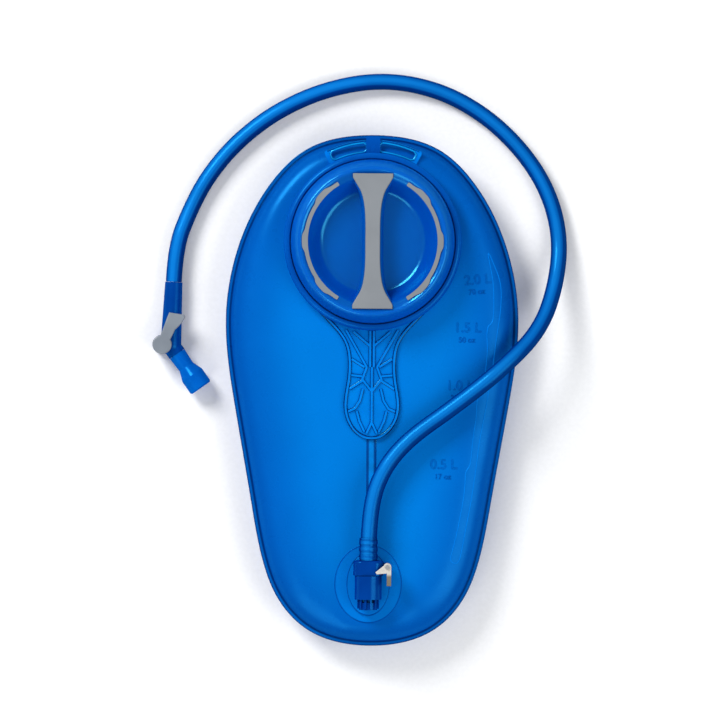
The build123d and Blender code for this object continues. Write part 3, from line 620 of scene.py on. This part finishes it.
def smooth_path(points, spacing=0.0015, closed=False):
    """Points about a spacing apart on a rounded path through the given points."""
    data = bpy.data.curves.new("path", "CURVE")
    data.resolution_u = 12
    spline = data.splines.new("NURBS")
    spline.points.add(len(points) - 1)
    for point, (x, y) in zip(spline.points, points):
        point.co = (x, y, 0, 1)
    spline.order_u = 3
    spline.use_endpoint_u = not closed
    spline.use_cyclic_u = closed
    obj = bpy.data.objects.new("path", data)
    mesh = bpy.data.meshes.new_from_object(obj)
    path = [np.array(vertex.co[:2]) for vertex in mesh.vertices]
    bpy.data.objects.remove(obj)
    bpy.data.meshes.remove(mesh)
    kept = [path[0]]
    for place in path[1:]:
        if np.linalg.norm(place - kept[-1]) >= spacing:
            kept.append(place)
    if not closed and np.linalg.norm(path[-1] - kept[-1]) > spacing / 4:
        kept.append(path[-1])
    return kept


def weld(name, path, section, material, closed=False, base=None):
    """A low moulded band along a path; section is (offset, height) across it.
    It lies on the film, or at the height given as base."""
    vertices, faces, across_values = [], [], []
    reach = max(abs(offset) for offset, _ in section)
    count = len(path)
    for i, place in enumerate(path):
        before = path[i - 1] if closed or i else place
        after = path[(i + 1) % count] if closed or i < count - 1 else place
        along = (after - before) / np.linalg.norm(after - before)
        across = np.array((along[1], -along[0]))
        for offset, height in section:
            x, y = place + across * offset
            floor_z = film_top(x, y) if base is None else base
            vertices.append((x, y, floor_z + height))
            across_values.append(abs(offset) / reach)
    width = len(section)
    for i in range(count if closed else count - 1):
        j = (i + 1) % count
        for k in range(width - 1):
            faces.append((i * width + k, i * width + k + 1, j * width + k + 1, j * width + k))
    mesh = bpy.data.meshes.new(name)
    mesh.from_pydata(vertices, [], faces)
    # across: distance from the band's middle, from which the ribbed materials paint highlight and shade.
    attribute = mesh.attributes.new("across", "FLOAT", "POINT")
    attribute.data.foreach_set("value", across_values)
    for polygon in mesh.polygons:
        polygon.use_smooth = True
    mesh.materials.append(material)
    obj = bpy.data.objects.new(name, mesh)
    scene.collection.objects.link(obj)
    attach(obj, "bag")
    return obj


def relief_text(name, words, x, y, size, turn, material):
    """Generic volume marks that stand 0.3 mm out of the film."""
    data = bpy.data.curves.new(name, "FONT")
    data.body = words
    data.size = size
    data.extrude = 0.00012
    data.bevel_depth = 0.00008
    data.align_x = "CENTER"
    data.align_y = "CENTER"
    data.fill_mode = "NONE"
    source = bpy.data.objects.new(name, data)
    mesh = bpy.data.meshes.new_from_object(source)
    bpy.data.objects.remove(source)
    cos_turn, sin_turn = math.cos(turn), math.sin(turn)
    for vertex in mesh.vertices:
        u, v, w = vertex.co
        px = x + u * cos_turn - v * sin_turn
        py = y + u * sin_turn + v * cos_turn
        vertex.co = (px, py, film_top(px, py) + w + 0.0001)
    mesh.materials.clear()
    mesh.materials.append(material)
    obj = bpy.data.objects.new(name, mesh)
    scene.collection.objects.link(obj)
    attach(obj, "bag")
    return obj


weld_film = plastic("weld_film", (0.0, 0.155, 0.63), (0.0, 0.175, 0.67), (0.22, 0.32), 2600.0, 0.00001)
weld_line = plastic("weld_line", (0.0, 0.075, 0.38), (0.0, 0.09, 0.42), (0.22, 0.32), 2600.0, 0.00001)
mark_film = plastic("mark_film", (0.0, 0.095, 0.47), (0.0, 0.11, 0.51), (0.22, 0.32), 2600.0, 0.00001)
LINE = [(-0.0004, -0.0002), (-0.00025, 0.00012), (0.0, 0.0002), (0.00025, 0.00012), (0.0004, -0.0002)]
BAFFLE = [
    (-0.0033, -0.0002), (-0.0030, 0.00015), (-0.0024, 0.0002), (-0.0012, 0.0001), (0.0, 0.00018),
    (0.0012, 0.0001), (0.0024, 0.0002), (0.0030, 0.00015), (0.0033, -0.0002),
]

baffle_line = [(0.0, y) for y in (-0.0285, -0.045, -0.060, -0.075, -0.0875)]
weld("baffle_weld", smooth_path(baffle_line), BAFFLE, baffle_rib)

FINE = [(-0.0003, -0.0002), (-0.0002, 0.00012), (0.0, 0.0002), (0.0002, 0.00012), (0.0003, -0.0002)]
OUTLET_PLATE_TOP = 0.036

for number, (half_x, half_y, base) in enumerate(((0.0208, 0.0242, None), (0.0132, 0.0195, OUTLET_PLATE_TOP))):
    turns = [2 * math.pi * step / 72 for step in range(72)]
    oval = [np.array((OUTLET.x + half_x * math.sin(turn), OUTLET.y + half_y * math.cos(turn))) for turn in turns]
    weld(f"outlet_outline_{number}", oval, FINE, weld_line, True, base)

strip_outline = [
    (0.0708, 0.0891), (0.0733, 0.0767), (0.0754, 0.0659), (0.0756, 0.0475), (0.0745, 0.0420),
    (0.0718, 0.0405), (0.0711, 0.0340), (0.0719, 0.0275), (0.0712, 0.0162), (0.0694, 0.0060),
    (0.0672, 0.0010), (0.0649, -0.0080), (0.0652, -0.0140), (0.0628, -0.0303), (0.0619, -0.0435),
    (0.0604, -0.0480), (0.0584, -0.0500), (0.0583, -0.0580), (0.0577, -0.0650), (0.0543, -0.0846),
    (0.0505, -0.1001), (0.0490, -0.1045), (0.0513, -0.1072), (0.0547, -0.1068), (0.0560, -0.1016),
    (0.0588, -0.0861), (0.0618, -0.0706), (0.0648, -0.0505), (0.0671, -0.0303), (0.0701, -0.0148),
    (0.0717, -0.0055), (0.0758, 0.0194), (0.0775, 0.0349), (0.0798, 0.0488), (0.0803, 0.0628),
    (0.0788, 0.0705), (0.0756, 0.0783),
]
weld("scale_strip", smooth_path(strip_outline, closed=True), LINE, weld_film, True)

MARKS = [
    ("2.0 L", "70 oz", 0.0653, 0.0690, 0.10),
    ("1.5 L", "50 oz", 0.0593, 0.0391, 0.0),
    ("1.0 L", "35 oz", 0.0545, 0.0033, 0.0),
    ("0.5 L", "17 oz", 0.0449, -0.0458, 0.0),
]
for number, (litres, ounces, x, y, turn) in enumerate(MARKS):
    relief_text(f"scale_litres_{number}", litres, x, y, 0.0085, turn, mark_film)
    relief_text(f"scale_ounces_{number}", ounces, x - 0.0005, y - 0.0075, 0.0046, turn, mark_film)


# ---------------------------------------------------------------- ribs of the clear handle
PLATE_TOP = 0.0354
HANDLE_SIDE = [
    (0.0350, 0.0521), (0.0270, 0.0437), (0.0204, 0.0365), (0.0156, 0.0285), (0.0138, 0.0190),
    (0.0141, 0.0080), (0.0158, -0.0030), (0.0162, -0.0110), (0.0140, -0.0193), (0.0086, -0.0263),
    (0.0, -0.0296),
]
RIBS = [
    [(-0.0011, 0.037), (-0.0011, 0.0145)],
    [(-0.0115, 0.0365), (-0.0011, 0.0275)],
    [(-0.0162, 0.0375), (-0.0032, 0.0145)],
    [(-0.0032, 0.0145), (-0.0060, 0.0070), (0.0, -0.0005)],
    [(-0.0125, 0.0195), (-0.0046, 0.0145)],
    [(-0.0128, 0.0095), (-0.0060, 0.0088)],
    [(-0.0138, 0.0010), (-0.0060, 0.0060)],
    [(-0.0056, 0.0010), (-0.0074, -0.0064), (-0.0104, -0.0112), (-0.0145, -0.0130)],
    [(-0.0092, -0.0128), (-0.0076, -0.0190), (-0.0045, -0.0255)],
    [(0.0, -0.0198), (-0.0032, -0.0266)],
]


def half_round(half_width, height):
    """A half-round section for a bead."""
    angles = [math.pi * step / 10 for step in range(11)]
    return [(-half_width * math.cos(angle), height * math.sin(angle)) for angle in angles]


def straight_path(points, spacing=0.0008):
    """Points along straight runs, a spacing apart."""
    path = []
    for start, end in zip(points, points[1:]):
        start, end = np.array(start), np.array(end)
        steps = max(1, int(np.linalg.norm(end - start) / spacing))
        path += [start + (end - start) * step / steps for step in range(steps)]
    path.append(np.array(points[-1]))
    return path


def through_points(points, steps=8):
    """A smooth path that passes through every point."""
    places = [np.array(point) for point in points]
    places = [2 * places[0] - places[1], *places, 2 * places[-1] - places[-2]]
    path = []
    for a, b, c, d in zip(places, places[1:], places[2:], places[3:]):
        for step in range(steps):
            t = step / steps
            path.append(0.5 * (2 * b + (c - a) * t + (2 * a - 5 * b + 4 * c - d) * t ** 2
                               + (3 * b - 3 * c + d - a) * t ** 3))
    path.append(places[-2])
    return path


RIB = half_round(0.00105, 0.0005)
handle_edge = through_points(HANDLE_SIDE + [(-x, y) for x, y in reversed(HANDLE_SIDE[:-1])])
handle_bead = half_round(0.0012, 0.0007)
weld("handle_edge_bead", handle_edge, handle_bead, clear_edge, base=PLATE_TOP)
weld("handle_rib_middle", straight_path([(0.0, 0.0145), (0.0, -0.0198)]), RIB, clear_rib,
     base=PLATE_TOP)
for number, run in enumerate(RIBS):
    for side, name in ((1, "left"), (-1, "right")):
        path = straight_path([(side * x, y) for x, y in run])
        weld(f"handle_rib_{name}_{number}", path, RIB, clear_rib, base=PLATE_TOP)


def about_port(radius, angle):
    """A point at a radius from the fill port's axis, at an angle from the top of the bag."""
    turn = math.radians(angle)
    return np.array((PORT.x + radius * math.sin(turn), PORT.y + radius * math.cos(turn)))


SLOT_INNER = 0.0559              # radii of the beads round the slots
SLOT_OUTER = 0.0616
SLOT_END = (0.0572, 0.0588, 0.0603)
HANGER_EDGE = 0.0630
slot_bead = half_round(0.0007, 0.0006)
hanger_bead = half_round(0.0005, 0.0006)

for side, name in ((-1, "left"), (1, "right")):
    corners = [about_port(SLOT_INNER, side * angle) for angle in np.linspace(5.5, 24.5, 16)]
    corners += [about_port(radius, side * 26.2) for radius in SLOT_END]
    corners += [about_port(SLOT_OUTER, side * angle) for angle in np.linspace(24.5, 5.5, 16)]
    corners += [about_port(radius, side * 3.9) for radius in reversed(SLOT_END)]
    weld(f"hang_slot_bead_{name}", corners, slot_bead, slot_glint_rim, True, PLATE_TOP)
hanger_edge = [about_port(HANGER_EDGE, angle) for angle in np.linspace(-27, 27, 40)]
weld("hanger_edge_bead", hanger_edge, hanger_bead, clear_rib, base=PLATE_TOP)


# ---------------------------------------------------------------- floor
floor_graph = Graph("paper_floor")
paper = floor_graph.noise(400.0)
floor_shader = floor_graph.add("ShaderNodeBsdfPrincipled", {
    "Base Color": floor_graph.ramp(paper, [(0.3, (0.90, 0.90, 0.90)), (0.7, (0.93, 0.93, 0.93))]),
    "Roughness": 0.9,
    "Specular IOR Level": 0.1,
    "Normal": floor_graph.bump(paper, 0.00002),
})
paper_floor = floor_graph.finish(floor_shader.outputs["BSDF"])
floor_mesh = bpy.data.meshes.new("floor")
floor_mesh.from_pydata([(-6, -6, 0), (6, -6, 0), (6, 6, 0), (-6, 6, 0)], [], [(0, 1, 2, 3)])
floor_mesh.materials.append(paper_floor)
floor = bpy.data.objects.new("floor", floor_mesh)
floor.location = (0, 0, -0.0003)
scene.collection.objects.link(floor)
